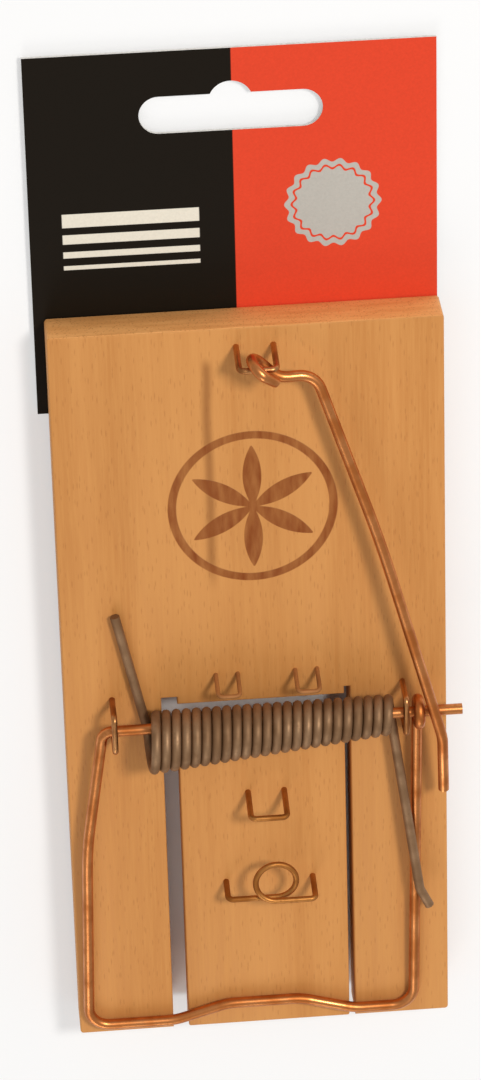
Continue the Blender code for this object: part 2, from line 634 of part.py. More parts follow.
def main():
    clear_scene()
    wood = make_material("beech", (0.64, 0.30, 0.09), 0.6, 0.0)
    copper = make_material("coppered_wire", (0.55, 0.22, 0.11), 0.35, 1.0)
    spring_steel = make_material("oil_hardened_steel", (0.13, 0.11, 0.10), 0.45, 1.0)
    staple_steel = make_material("coppered_staple_wire", (0.42, 0.22, 0.13), 0.35, 1.0)
    paper = make_material("printed_card", (0.35, 0.07, 0.03), 0.5, 0.0)
    make_board(wood)
    make_board_staples(staple_steel)
    make_treadle(wood, staple_steel)
    make_jaw(copper)
    make_spring(spring_steel)
    make_locking_bar(copper)
    make_card(paper, staple_steel)
    bpy.context.view_layer.update()


main()
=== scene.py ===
# %% [markdown]
# # A wooden snap trap with its hanging card
# The trap lies on its board with the jaw sprung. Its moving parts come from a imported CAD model, so
# this script never decides where a joint is: it reads the frame, dresses each part with a finer
# shape and a real finish, and says which body each piece moves with.

# %% Load the frame
import json
import math

import bmesh
import bpy
from mathutils import Matrix, Vector


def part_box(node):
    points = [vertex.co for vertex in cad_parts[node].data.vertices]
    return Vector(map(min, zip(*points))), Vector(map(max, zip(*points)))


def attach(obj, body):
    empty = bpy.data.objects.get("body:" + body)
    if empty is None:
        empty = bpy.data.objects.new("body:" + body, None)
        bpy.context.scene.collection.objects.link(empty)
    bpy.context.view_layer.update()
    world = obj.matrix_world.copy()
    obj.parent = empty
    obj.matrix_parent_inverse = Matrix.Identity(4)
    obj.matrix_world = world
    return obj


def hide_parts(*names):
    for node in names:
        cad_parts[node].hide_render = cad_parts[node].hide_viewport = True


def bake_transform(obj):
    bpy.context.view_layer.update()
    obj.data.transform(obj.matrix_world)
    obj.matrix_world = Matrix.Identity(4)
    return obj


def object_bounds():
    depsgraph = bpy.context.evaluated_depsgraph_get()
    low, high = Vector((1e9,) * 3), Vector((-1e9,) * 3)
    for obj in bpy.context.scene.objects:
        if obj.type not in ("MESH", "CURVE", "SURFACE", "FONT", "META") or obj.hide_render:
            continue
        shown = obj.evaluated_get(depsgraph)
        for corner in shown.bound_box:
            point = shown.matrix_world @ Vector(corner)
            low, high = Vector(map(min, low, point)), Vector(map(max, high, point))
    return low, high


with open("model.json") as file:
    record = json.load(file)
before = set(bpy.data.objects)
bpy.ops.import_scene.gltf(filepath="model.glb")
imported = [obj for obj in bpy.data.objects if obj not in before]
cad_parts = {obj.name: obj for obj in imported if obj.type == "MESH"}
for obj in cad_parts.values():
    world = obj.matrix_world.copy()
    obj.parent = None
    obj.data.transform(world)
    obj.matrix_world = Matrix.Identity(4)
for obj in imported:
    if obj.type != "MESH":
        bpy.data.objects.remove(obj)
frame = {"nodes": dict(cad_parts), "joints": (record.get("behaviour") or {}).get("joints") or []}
cad_low, cad_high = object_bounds()
MM = 0.001
joints = {joint["name"]: joint for joint in frame["joints"]}
JAW_AXIS = Vector(joints["jaw_swing"]["pos_m"])
BAR_AXIS = Vector(joints["bar_lift"]["pos_m"])
board_low, board_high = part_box("base_board")
FACE_Z = board_high.z
print(f"the model is {(cad_high - cad_low) / MM} mm and has {len(frame['nodes'])} nodes")

# %% [markdown]
# ## The camera
# The photograph was solved for the board's corners: three turns of the object and one shift
# bring its points in front of the lens. The camera is that placement turned inside out.

# %% Set the camera where the photograph was taken
PHOTO_TURNS = (29.657, 3.979, 1.668)
PHOTO_SHIFT = Vector((2.752, -27.0, -912.406)) * MM
PHOTO_HEIGHT = 1080
FOCAL_LENGTH_IN_PIXELS = 5000
SENSOR_WIDTH = 36

camera_data = bpy.data.cameras.new("photo_camera")
camera = bpy.data.objects.new("photo_camera", camera_data)
bpy.context.scene.collection.objects.link(camera)
camera_data.sensor_width = SENSOR_WIDTH
camera_data.lens = FOCAL_LENGTH_IN_PIXELS / PHOTO_HEIGHT * SENSOR_WIDTH
nod, sway, roll = (math.radians(turn) for turn in PHOTO_TURNS)
turned = Matrix.Rotation(nod, 4, "X") @ Matrix.Rotation(sway, 4, "Y")
turned = Matrix.Rotation(roll, 4, "Z") @ turned
seen = Matrix.Translation(PHOTO_SHIFT) @ turned @ Matrix.Translation((0, 0, -FACE_Z))
camera.matrix_world = seen.inverted()
bpy.context.scene.camera = camera
print(f"the camera stands at {camera.matrix_world.translation / MM} mm")

# %% [markdown]
# ## Building nodes
# A procedural finish is a small graph. Short helpers keep the graphs readable. One adds a node and
# fills its inputs from numbers or from other nodes, and the others say in one word what a graph
# does often: a sum, a smooth step, a mix of two colours, a noise of a given grain size.


# %% Helpers for shader graphs
def put(tree, kind, inputs=None, **settings):
    """Adds a node, then fills its inputs from values or from other nodes' sockets."""
    made = tree.nodes.new(kind)
    for name, value in settings.items():
        setattr(made, name, value)
    for key, value in (inputs or {}).items():
        if isinstance(value, bpy.types.NodeSocket):
            tree.links.new(value, made.inputs[key])
        else:
            made.inputs[key].default_value = value
    return made


def maths(tree, operation, first, second=0.0):
    """One sum on one or two values."""
    return put(tree, "ShaderNodeMath", {0: first, 1: second}, operation=operation).outputs[0]


def ramp(tree, value, low, high):
    """Goes smoothly from 0 where the value is low to 1 where it is high."""
    return put(tree, "ShaderNodeMapRange", {"Value": value, "From Min": low, "From Max": high},
               interpolation_type="SMOOTHSTEP").outputs["Result"]


def spread(tree, value, low, high):
    """Goes evenly from low where the value is 0 to high where it is 1."""
    return put(tree, "ShaderNodeMapRange",
               {"Value": value, "To Min": low, "To Max": high}).outputs["Result"]


def mixed(tree, share, first, second):
    """Mixes two colours."""
    made = put(tree, "ShaderNodeMix", {0: share, 6: first, 7: second}, data_type="RGBA")
    return made.outputs[2]


def colour(red, green, blue):
    """A colour as a node wants it."""
    return (red, green, blue, 1.0)


print("helpers for nodes are ready")


# %% Helpers for finishes
def new_material(name, **values):
    """A material with a Principled shader, its plain values set on the shader itself."""
    material = bpy.data.materials.new(name)
    material.use_nodes = True
    shader = material.node_tree.nodes["Principled BSDF"]
    for key, value in values.items():
        shader.inputs[key.replace("_", " ")].default_value = value
    return material, material.node_tree, shader


def stretched(tree, size_x, size_y, size_z, turn_z=0.0, centre=(0, 0, 0)):
    """Object coordinates in which one unit is the given size along each axis."""
    place = put(tree, "ShaderNodeTexCoord").outputs["Object"]
    moved = put(tree, "ShaderNodeVectorMath", {0: place, 1: centre}, operation="SUBTRACT")
    return put(tree, "ShaderNodeMapping",
               {"Vector": moved.outputs[0], "Rotation": (0, 0, -turn_z),
                "Scale": (1 / size_x, 1 / size_y, 1 / size_z)}).outputs["Vector"]


def noise(tree, sizes, detail, roughness=0.5):
    """A noise whose lumps are as large as the sizes along each axis, in millimetres."""
    place = stretched(tree, *(size * MM for size in sizes))
    made = put(tree, "ShaderNodeTexNoise",
               {"Vector": place, "Scale": 1.0, "Detail": detail, "Roughness": roughness})
    return made.outputs["Fac"]


def cells(tree, sizes):
    """The distance to the nearest of scattered points, with cells of the sizes in millimetres."""
    place = stretched(tree, *(size * MM for size in sizes))
    return put(tree, "ShaderNodeTexVoronoi", {"Vector": place, "Scale": 1.0}).outputs["Distance"]


def facing(tree, axis):
    """How far a face looks along one of the object's axes."""
    normal = put(tree, "ShaderNodeTexCoord").outputs["Normal"]
    return put(tree, "ShaderNodeSeparateXYZ", {0: normal}).outputs[axis]


def dress(tree, shader, surface, roughness, height, strength, depth):
    """Links a colour, a roughness and a bump of the given depth to the shader."""
    bump = put(tree, "ShaderNodeBump", {"Height": height, "Strength": strength, "Distance": depth})
    tree.links.new(surface, shader.inputs["Base Color"])
    if roughness is not None:
        tree.links.new(roughness, shader.inputs["Roughness"])
    tree.links.new(bump.outputs["Normal"], shader.inputs["Normal"])


print("helpers for finishes are ready")

# %% [markdown]
# ## Beech
# Beech is pale red-brown and very even. What gives it away are its rays: short dark dashes that lie
# along the grain, about 2 mm long and a quarter of a millimetre wide. A photograph texture would
# show them too, but it would stretch on the ends. Here the dashes are a Voronoi pattern drawn out
# along the board, over broad soft bands and fine fibres. The sawn ends have rings and pores, and
# they are painted paler than the faces: painted light, for the light that falls less on them.

# %% Colours of beech
BEECH = colour(0.65, 0.284, 0.079)
BEECH_BAND = colour(0.57, 0.233, 0.058)
BEECH_FIBRE = colour(0.72, 0.34, 0.102)
BEECH_RAY = colour(0.38, 0.135, 0.032)
# The three end colours are painted light: paler than the long grain, for the light that falls less
# on the sawn ends.
BEECH_END_PAINTED_LIGHT = colour(0.84, 0.40, 0.13)
BEECH_RING_PAINTED_LIGHT = colour(0.75, 0.335, 0.10)
BEECH_PORE_PAINTED_LIGHT = colour(0.62, 0.265, 0.075)
BEECH_STREAK = colour(0.32, 0.118, 0.026)
BEECH_BURNT = colour(0.235, 0.050, 0.002)
FIBRE_SHARE = 0.4
RAY_SHARE = 0.3
RAY_DEPTH = 0.8
print("beech has nine colours")


# %% Wood grain as a node group
def make_grain_group():
    """The colour, height and roughness of bare beech, along the grain and on the sawn ends."""
    group = bpy.data.node_groups.new("beech_grain_with_painted_end_light", "ShaderNodeTree")
    for name, kind in (("Colour", "Color"), ("Height", "Float"), ("Roughness", "Float")):
        group.interface.new_socket(name, in_out="OUTPUT", socket_type=f"NodeSocket{kind}")

    bands = ramp(group, noise(group, (9, 160, 9), 3.0), 0.35, 0.68)
    fibres = ramp(group, noise(group, (0.55, 14, 0.55), 4.0, 0.6), 0.3, 0.75)
    rays = ramp(group, cells(group, (0.6, 3.2, 0.6)), 0.30, 0.10)
    long_grain = mixed(group, bands, BEECH, BEECH_BAND)
    fibre_share = maths(group, "MULTIPLY", fibres, FIBRE_SHARE)
    long_grain = mixed(group, fibre_share, long_grain, BEECH_FIBRE)
    ray_share = maths(group, "MULTIPLY", rays, RAY_SHARE)
    long_grain = mixed(group, ray_share, long_grain, BEECH_RAY)

    # The sawn ends are painted light: their colours are paler than the long grain, so less light on
    # them still reads bright.
    rings = ramp(group, noise(group, (14, 14, 1.1), 2.0), 0.35, 0.65)
    pores = ramp(group, cells(group, (0.5, 0.5, 0.5)), 0.34, 0.2)
    end_grain_painted_light = mixed(group, pores, mixed(group, rings, BEECH_END_PAINTED_LIGHT, BEECH_RING_PAINTED_LIGHT), BEECH_PORE_PAINTED_LIGHT)
    is_end_painted_light = ramp(group, maths(group, "ABSOLUTE", facing(group, "Y")), 0.6, 0.8)
    height = maths(group, "SUBTRACT", fibres, maths(group, "MULTIPLY", rays, RAY_DEPTH))
    put(group, "NodeGroupOutput",
        {"Colour": mixed(group, is_end_painted_light, long_grain, end_grain_painted_light), "Height": height,
         "Roughness": spread(group, fibres, 0.5, 0.68)})
    return group


grain_group = make_grain_group()
print(f"{grain_group.name} has {len(grain_group.nodes)} nodes")

# %% [markdown]
# ## A burnt ornament
# The middle of the board carries a mark burnt in with a hot stamp. A six-petalled rosette is as old
# as the pair of compasses, and it can be written as a sum: six circles stand on a ring of the same
# radius, and a point that lies inside three of them at once is on a petal.


# %% Rosette mask as a node group
PETALS = 6
SOFT_EDGE = 0.02
RING_RADIUS = 1.16


def make_rosette_group():
    """1 on the ornament and 0 beside it, for petals that are one unit long."""
    group = bpy.data.node_groups.new("burnt_rosette", "ShaderNodeTree")
    group.interface.new_socket("Vector", in_out="INPUT", socket_type="NodeSocketVector")
    group.interface.new_socket("Mask", in_out="OUTPUT", socket_type="NodeSocketFloat")
    place = put(group, "NodeGroupInput").outputs["Vector"]
    inside = 0.0
    for petal in range(PETALS):
        angle = math.tau * petal / PETALS
        centre = (math.sin(angle), math.cos(angle), 0.0)
        reach = put(group, "ShaderNodeVectorMath", {0: place, 1: centre}, operation="DISTANCE")
        within = ramp(group, reach.outputs["Value"], 1.0 + SOFT_EDGE, 1.0 - SOFT_EDGE)
        inside = maths(group, "ADD", inside, within)
    radius = put(group, "ShaderNodeVectorMath", {0: place}, operation="LENGTH").outputs["Value"]
    on_petal = ramp(group, inside, 2.2, 2.8)
    petals = maths(group, "MULTIPLY", on_petal, ramp(group, radius, 1.02, 0.97))
    off_ring = maths(group, "ABSOLUTE", maths(group, "SUBTRACT", radius, RING_RADIUS))
    ring = ramp(group, off_ring, 0.07, 0.05)
    put(group, "NodeGroupOutput", {"Mask": maths(group, "MAXIMUM", petals, ring)})
    return group


rosette_group = make_rosette_group()
print(f"{rosette_group.name} has {len(rosette_group.nodes)} nodes")

# %% [markdown]
# ## Two beeches
# The treadle is bare beech. The board has the same grain with two things laid over its colour: a
# mineral streak, which grew in the tree and so runs through the whole thickness, and the burnt
# ornament, which lies only on the face that looks up and is sunk into it.


# %% Mineral streak
STREAK_X = -7.2
STREAK_WIDTH = 1.5
STREAK_ENDS = (20.0, 69.0)
STREAK_FADES = (8.0, 3.0)
STREAK_SWAY = 1.6
STREAK_SHARE = 0.75


def with_streak(tree, surface):
    """The colour with a soft dark streak along the grain. All its sizes are in millimetres."""
    wander = maths(tree, "SUBTRACT", noise(tree, (60, 26, 60), 2.0), 0.5)
    place = put(tree, "ShaderNodeSeparateXYZ", {0: stretched(tree, MM, MM, MM)}).outputs
    off = maths(tree, "SUBTRACT", place["X"], STREAK_X)
    off = maths(tree, "SUBTRACT", off, maths(tree, "MULTIPLY", wander, STREAK_SWAY))
    across = ramp(tree, maths(tree, "ABSOLUTE", off), STREAK_WIDTH, 0.0)
    low, high = STREAK_ENDS
    low_end = ramp(tree, place["Y"], low, low + STREAK_FADES[0])
    high_end = ramp(tree, place["Y"], high, high - STREAK_FADES[1])
    share = maths(tree, "MULTIPLY", across, maths(tree, "MULTIPLY", low_end, high_end))
    return mixed(tree, maths(tree, "MULTIPLY", share, STREAK_SHARE), surface, BEECH_STREAK)


print(f"the streak lies {-STREAK_X} mm left of the middle")

# %% Beech, plain and stamped
ROSETTE_CENTRE = (0.4 * MM, 38 * MM, FACE_Z)
ROSETTE_RADIUS = 12.5 * MM
BURN_DEPTH = 4.0


def burn_mask(tree):
    """1 on the ornament, on the face that looks up."""
    flat = stretched(tree, ROSETTE_RADIUS, ROSETTE_RADIUS, 1.0, centre=ROSETTE_CENTRE)
    flat = put(tree, "ShaderNodeVectorMath", {0: flat, 1: (1, 1, 0)}, operation="MULTIPLY")
    rosette = put(tree, "ShaderNodeGroup", {"Vector": flat.outputs[0]}, node_tree=rosette_group)
    upward = ramp(tree, facing(tree, "Z"), 0.6, 0.8)
    return maths(tree, "MULTIPLY", rosette.outputs["Mask"], upward)


def wood_material(name, stamped=False):
    """Beech, with the streak and the burnt ornament where it is stamped."""
    material, tree, shader = new_material(name, Specular_IOR_Level=0.25)
    grain = put(tree, "ShaderNodeGroup", node_tree=grain_group).outputs
    surface = grain["Colour"]
    height = grain["Height"]
    if stamped:
        burn = burn_mask(tree)
        scorch = put(tree, "ShaderNodeMapRange",
                     {"Value": noise(tree, (1.6, 7, 1.6), 3.0), "From Min": 0.3, "From Max": 0.7,
                      "To Min": 0.62, "To Max": 1.0}).outputs["Result"]
        share = maths(tree, "MULTIPLY", burn, scorch)
        surface = mixed(tree, share, with_streak(tree, surface), BEECH_BURNT)
        height = maths(tree, "SUBTRACT", height, maths(tree, "MULTIPLY", burn, BURN_DEPTH))
    dress(tree, shader, surface, grain["Roughness"], height, strength=0.35, depth=0.06 * MM)
    return material


beech_board = wood_material("stamped_beech", stamped=True)
beech_plain = wood_material("plain_beech")
print(f"made {beech_board.name} and {beech_plain.name}")

# %% [markdown]
# ## Wire
# All the metal is drawn wire. The thin copper wash that keeps it from rusting is uneven: bright
# where the wire rubbed, brown where it has aged. One group gives that patchiness and a fine grit,
# and each wire mixes its own two colours with it.


# %% Wire tarnish as a node group
SPECK_SHARE = 0.6


def make_tarnish_group():
    """A wire's colour, roughness and height between its bright and its aged state."""
    group = bpy.data.node_groups.new("wire_tarnish", "ShaderNodeTree")
    group.interface.new_socket("Bright", in_out="INPUT", socket_type="NodeSocketColor")
    group.interface.new_socket("Aged", in_out="INPUT", socket_type="NodeSocketColor")
    for name in ("Smooth", "Dull"):
        group.interface.new_socket(name, in_out="INPUT", socket_type="NodeSocketFloat")
    for name, kind in (("Colour", "Color"), ("Roughness", "Float"), ("Height", "Float")):
        group.interface.new_socket(name, in_out="OUTPUT", socket_type=f"NodeSocket{kind}")
    taken = put(group, "NodeGroupInput").outputs
    patches = ramp(group, noise(group, (5, 5, 5), 4.0), 0.36, 0.66)
    grit = noise(group, (0.5, 0.5, 0.5), 2.0)
    specks = maths(group, "MULTIPLY", ramp(group, grit, 0.52, 0.72), SPECK_SHARE)
    share = maths(group, "MAXIMUM", patches, specks)
    put(group, "NodeGroupOutput",
        {"Colour": mixed(group, share, taken["Bright"], taken["Aged"]),
         "Roughness": spread(group, share, taken["Smooth"], taken["Dull"]), "Height": grit})
    return group


tarnish_group = make_tarnish_group()
print(f"{tarnish_group.name} has {len(tarnish_group.nodes)} nodes")


# %% Five kinds of wire
def wire_material(name, bright, aged, smooth, dull, metal=1.0):
    """Drawn wire between a bright, smooth state and an aged, dull one."""
    material, tree, shader = new_material(name, Metallic=metal)
    state = {"Bright": bright, "Aged": aged, "Smooth": smooth, "Dull": dull}
    made = put(tree, "ShaderNodeGroup", state, node_tree=tarnish_group).outputs
    dress(tree, shader, made["Colour"], made["Roughness"], made["Height"], strength=0.25,
          depth=0.03 * MM)
    return material


coppered = wire_material("coppered_wire", colour(0.66, 0.255, 0.084),
                         colour(0.47, 0.148, 0.036), smooth=0.30, dull=0.46)
staple_copper = wire_material("staple_wire", colour(0.56, 0.265, 0.10),
                              colour(0.33, 0.128, 0.040), smooth=0.30, dull=0.48)
dull_copper = wire_material("dull_staple_wire", colour(0.44, 0.185, 0.055),
                            colour(0.33, 0.128, 0.034), smooth=0.62, dull=0.75, metal=0.4)
brown_copper = wire_material("brown_staple_wire", colour(0.50, 0.208, 0.052),
                             colour(0.34, 0.120, 0.022), smooth=0.44, dull=0.60, metal=0.9)
spring_steel = wire_material("spring_steel", colour(0.33, 0.192, 0.100),
                             colour(0.235, 0.126, 0.058), smooth=0.50, dull=0.66, metal=0.7)
wires = (coppered, staple_copper, dull_copper, brown_copper, spring_steel)
print("made " + ", ".join(wire.name for wire in wires))

# %% [markdown]
# ## Helpers for pieces
# A piece is finished by three facts: its material, the body that it moves with, and the CAD node
# that it stands for. Wires are curves with a round bevel, turned to meshes so that their cut ends
# can be chamfered as a cutter leaves them.


# %% Place a piece
def add_piece(name, mesh, material, body, slot, *stands_for):
    """Links a finished mesh, hides the CAD nodes that it stands for and ties it to its body."""
    made = bpy.data.objects.new(name, mesh)
    bpy.context.scene.collection.objects.link(made)
    mesh.materials.append(material)
    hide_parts(*stands_for)
    if body:
        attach(made, body)
    return made


print("pieces can be placed")

# %% Bend a path
CORNER_SHARE = 0.48


def bent(points, radius, steps=10):
    """A path through the points with each corner turned on an arc."""
    path = [Vector(points[0])]
    for before, corner, after in zip(points, points[1:], points[2:]):
        corner = Vector(corner)
        back = Vector(before) - corner
        ahead = Vector(after) - corner
        turn = math.pi - back.angle(ahead)
        room = CORNER_SHARE * min(back.length, ahead.length)
        setback = min(radius * math.tan(turn / 2), room)
        reach = setback / math.tan(turn / 2) / math.cos(turn / 2)
        centre = corner + (back.normalized() + ahead.normalized()).normalized() * reach
        spoke = corner + back.normalized() * setback - centre
        axis = spoke.cross(corner + ahead.normalized() * setback - centre).normalized()
        for step in range(steps + 1):
            path.append(centre + Matrix.Rotation(turn * step / steps, 3, axis) @ spoke)
    path.append(Vector(points[-1]))
    return path


print("paths can be bent")

# %% Sweep a wire
WELD_DISTANCE = 0.001 * MM
END_CHAMFER = 0.12
SHARP_ON_WIRE = math.radians(50)


def wire_mesh(name, path, diameter, resolution=6):
    """A round wire along the path, with its two cut ends chamfered."""
    curve = bpy.data.curves.new(name, "CURVE")
    curve.dimensions = "3D"
    curve.bevel_depth = diameter / 2
    curve.bevel_resolution = resolution
    curve.use_fill_caps = True
    spline = curve.splines.new("POLY")
    spline.points.add(len(path) - 1)
    for point, place in zip(spline.points, path):
        point.co = (*place, 1.0)
    spline.use_smooth = True
    holder = bpy.data.objects.new(name, curve)
    mesh = bpy.data.meshes.new_from_object(holder)
    bpy.data.objects.remove(holder)
    bpy.data.curves.remove(curve)
    bm = bmesh.new()
    bm.from_mesh(mesh)
    bmesh.ops.remove_doubles(bm, verts=bm.verts, dist=WELD_DISTANCE)
    rims = [edge for face in bm.faces if len(face.verts) > 4 for edge in face.edges]
    bmesh.ops.bevel(bm, geom=rims, offset=diameter * END_CHAMFER, affect="EDGES", segments=2,
                    profile=0.5, material=-1)
    bmesh.ops.recalc_face_normals(bm, faces=bm.faces)
    bm.to_mesh(mesh)
    bm.free()
    mesh.shade_smooth()
    mesh.set_sharp_from_angle(angle=SHARP_ON_WIRE)
    return mesh


print("wires can be swept")

# %% [markdown]
# ## Board and treadle
# Both are planed strips with their edges eased by a pass of sandpaper. The board's outline is drawn
# once with its cut-out, extruded to its thickness, and two bevels follow: a wide one on the upright
# corners and a narrow one round both faces.


# %% Helpers for flat solids
SHARP_ON_SOLID = math.radians(35)


def extruded(outline, low_z, high_z):
    """A bmesh prism on an outline of (x, y) points."""
    bm = bmesh.new()
    base = bm.faces.new([bm.verts.new((x, y, low_z)) for x, y in outline])
    grown = bmesh.ops.extrude_face_region(bm, geom=[base])
    raised = [item for item in grown["geom"] if isinstance(item, bmesh.types.BMVert)]
    bmesh.ops.translate(bm, verts=raised, vec=(0, 0, high_z - low_z))
    bmesh.ops.recalc_face_normals(bm, faces=bm.faces)
    return bm


def ease(bm, edges, offset, segments):
    """Rounds off some edges."""
    bmesh.ops.bevel(bm, geom=edges, offset=offset, affect="EDGES", segments=segments, profile=0.5,
                    material=-1)


def finished(bm, name):
    """The bmesh as a smooth-shaded mesh."""
    bmesh.ops.recalc_face_normals(bm, faces=bm.faces)
    mesh = bpy.data.meshes.new(name)
    bm.to_mesh(mesh)
    bm.free()
    mesh.shade_smooth()
    mesh.set_sharp_from_angle(angle=SHARP_ON_SOLID)
    return mesh


def upright(edge):
    """Whether an edge of a prism stands between its two faces."""
    return abs(edge.verts[0].co.z - edge.verts[1].co.z) > MM


print("flat solids can be cut and eased")

# %% Saw the board
CUTOUT_HALF_WIDTH = 17.3 * MM
CUTOUT_HEAD_Y = -2.5 * MM
SAW_END_Y = -1.0 * MM
CORNER_RADIUS = 0.6 * MM
EASED_EDGE = 0.35 * MM

cut_left, cut_right = -CUTOUT_HALF_WIDTH, CUTOUT_HALF_WIDTH
treadle_low, treadle_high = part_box("treadle")
board_outline = [
    (board_low.x, board_low.y), (cut_left, board_low.y), (cut_left, SAW_END_Y),
    (treadle_low.x, SAW_END_Y), (treadle_low.x, CUTOUT_HEAD_Y), (treadle_high.x, CUTOUT_HEAD_Y),
    (treadle_high.x, SAW_END_Y), (cut_right, SAW_END_Y), (cut_right, board_low.y),
    (board_high.x, board_low.y), (board_high.x, board_high.y), (board_low.x, board_high.y),
]
bm = extruded(board_outline, board_low.z, board_high.z)
side_x = board_high.x - MM
corners = [edge for edge in bm.edges if upright(edge) and abs(edge.verts[0].co.x) > side_x]
ease(bm, corners, CORNER_RADIUS, 5)
ease(bm, [edge for edge in bm.edges if not upright(edge)], EASED_EDGE, 3)
board = add_piece("board", finished(bm, "board"), beech_board, "base", "beech", "base_board")
print(f"the board has {len(board.data.polygons)} faces")

# %% Saw the treadle
treadle_outline = [
    (treadle_low.x, treadle_low.y), (treadle_high.x, treadle_low.y),
    (treadle_high.x, treadle_high.y), (treadle_low.x, treadle_high.y),
]
bm = extruded(treadle_outline, treadle_low.z, treadle_high.z)
ease(bm, bm.edges[:], EASED_EDGE, 3)
tread = add_piece("tread_plate", finished(bm, "tread_plate"), beech_plain, "treadle", "beech",
                  "treadle")
print(f"the treadle has {len(tread.data.polygons)} faces")

# %% [markdown]
# ## Staples
# One function bends all the plain staples, of which only the two keepers are of thinner wire. The
# CAD boxes already say where the feet and the crown are: a staple that leans has its feet at one
# side of its box and its crown at the other.

# %% Bend the board's staples
STAPLE_WIRE = 1.1 * MM
KEEPER_WIRE = 0.8 * MM
STAPLE_BEND = 1.0 * MM


def staple_path(left_foot, right_foot, crown_shift, low_z, seat_z, crown_z):
    """Up one leg, across the crown and down the other leg."""
    (left_x, left_y), (right_x, right_y) = left_foot, right_foot
    return bent([(left_x, left_y, low_z), (left_x, left_y, seat_z),
                 (left_x, left_y + crown_shift, crown_z), (right_x, right_y + crown_shift, crown_z),
                 (right_x, right_y, seat_z), (right_x, right_y, low_z)], STAPLE_BEND)


for name, wire, finish in (("bar_staple", STAPLE_WIRE, staple_copper),
                           ("keeper_staple_left", KEEPER_WIRE, dull_copper),
                           ("keeper_staple_right", KEEPER_WIRE, dull_copper)):
    low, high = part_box(name)
    half = wire / 2
    feet = ((low.x + half, high.y - half), (high.x - half, high.y - half))
    path = staple_path(*feet, low.y - high.y + wire, low.z, FACE_Z, high.z - half)
    mesh = wire_mesh(f"{name}_wire", path, wire)
    add_piece(f"{name}_wire", mesh, finish, "base", "staple_wire", name)

for name in ("jaw_staple_left", "jaw_staple_right"):
    low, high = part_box(name)
    half = STAPLE_WIRE / 2
    x = (low.x + high.x) / 2
    path = staple_path((x, high.y - half), (x, low.y + half), 0, low.z, FACE_Z, high.z - half)
    mesh = wire_mesh(f"{name}_wire", path, STAPLE_WIRE)
    add_piece(f"{name}_wire", mesh, staple_copper, "base", "staple_wire", name)
print("bent five staples for the board")

# %% Bend the catch on the treadle
CATCH_X = 1.4 * MM
CATCH_WIDTH = 6.7 * MM
CATCH_FROM_HEAD = 15.1 * MM
CATCH_HEIGHT = 7.5 * MM
CATCH_LEAN = 1.6 * MM
STAPLE_DEPTH_IN_TREADLE = 3.6 * MM

tread_z = treadle_high.z
foot_z = tread_z - STAPLE_DEPTH_IN_TREADLE
catch_y = treadle_high.y - CATCH_FROM_HEAD
half = STAPLE_WIRE / 2
path = staple_path((CATCH_X - CATCH_WIDTH / 2, catch_y), (CATCH_X + CATCH_WIDTH / 2, catch_y),
                   -CATCH_LEAN, foot_z, tread_z, tread_z + CATCH_HEIGHT - half)
mesh = wire_mesh("catch_wire", path, STAPLE_WIRE)
add_piece("catch_wire", mesh, brown_copper, "treadle", "staple_wire", "trigger_staple")
print("bent the catch")

# %% Bend the bait holder and draw the pivot wire
BAIT_X = 1.6 * MM
BAIT_WIDTH = 16.2 * MM
BAIT_FROM_HEAD = 34.5 * MM
BAIT_HEIGHT = 5.4 * MM
BAIT_LEAN = 1.0 * MM
BAIT_RING_RADIUS = 3.8 * MM
BAIT_RING_X = 2.4 * MM
BAIT_RING_RISE = 1.4 * MM
RING_STEPS = 48

bait_y = treadle_high.y - BAIT_FROM_HEAD
crown_y = bait_y - BAIT_LEAN
crown_z = tread_z + BAIT_HEIGHT - half
left_x = BAIT_X - BAIT_WIDTH / 2
right_x = BAIT_X + BAIT_WIDTH / 2
path = bent([(left_x, bait_y, foot_z), (left_x, bait_y, tread_z), (left_x, crown_y, crown_z),
             (BAIT_RING_X, crown_y, crown_z)], STAPLE_BEND)
for step in range(1, RING_STEPS):
    share = step / RING_STEPS
    angle = math.tau * share - math.pi / 2
    path.append(Vector((BAIT_RING_X + BAIT_RING_RADIUS * math.cos(angle),
                        crown_y + BAIT_RING_RADIUS * (1 + math.sin(angle)),
                        crown_z + BAIT_RING_RISE * share)))
top_z = crown_z + BAIT_RING_RISE
path += bent([(BAIT_RING_X, crown_y, top_z), (right_x, crown_y, top_z),
              (right_x, bait_y, tread_z), (right_x, bait_y, foot_z)], STAPLE_BEND)
mesh = wire_mesh("bait_wire", path, STAPLE_WIRE)
add_piece("bait_wire", mesh, brown_copper, "treadle", "staple_wire", "bait_holder")

low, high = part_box("treadle_pivot")
middle = (low + high) / 2
mesh = wire_mesh("pivot_wire", [(low.x, middle.y, middle.z), (high.x, middle.y, middle.z)],
                 high.z - low.z)
add_piece("pivot_wire", mesh, staple_copper, "base", "staple_wire", "treadle_pivot")
print("bent the bait holder and drew the pivot wire")

# %% [markdown]
# ## Jaw
# The jaw is one wire. It starts at the axle's free end, runs through the spring, turns down the
# left leg, across the bowed crossbar, up the right leg, and closes in an eye round its own axle.

# %% Bend the jaw
JAW_WIRE = 2.0 * MM
AXLE_LEFT_X = -28.4 * MM
SHOULDER = (-32.2 * MM, 26.0 * MM)
RIGHT_LEG_X = 28.3 * MM
EYE_X = 29.3 * MM
EYE_RADIUS = 2.3 * MM
BOW = 3.0 * MM
BOW_FLAT = 7.0 * MM
BOW_REACH = 17.0 * MM
AXLE_CORNER = 2 * MM
SHOULDER_RADIUS = 90 * MM
FOOT_RADIUS = 4 * MM
BOW_RADIUS = 12 * MM
EYE_TURN = 1.5 * math.pi
EYE_STEPS = 36

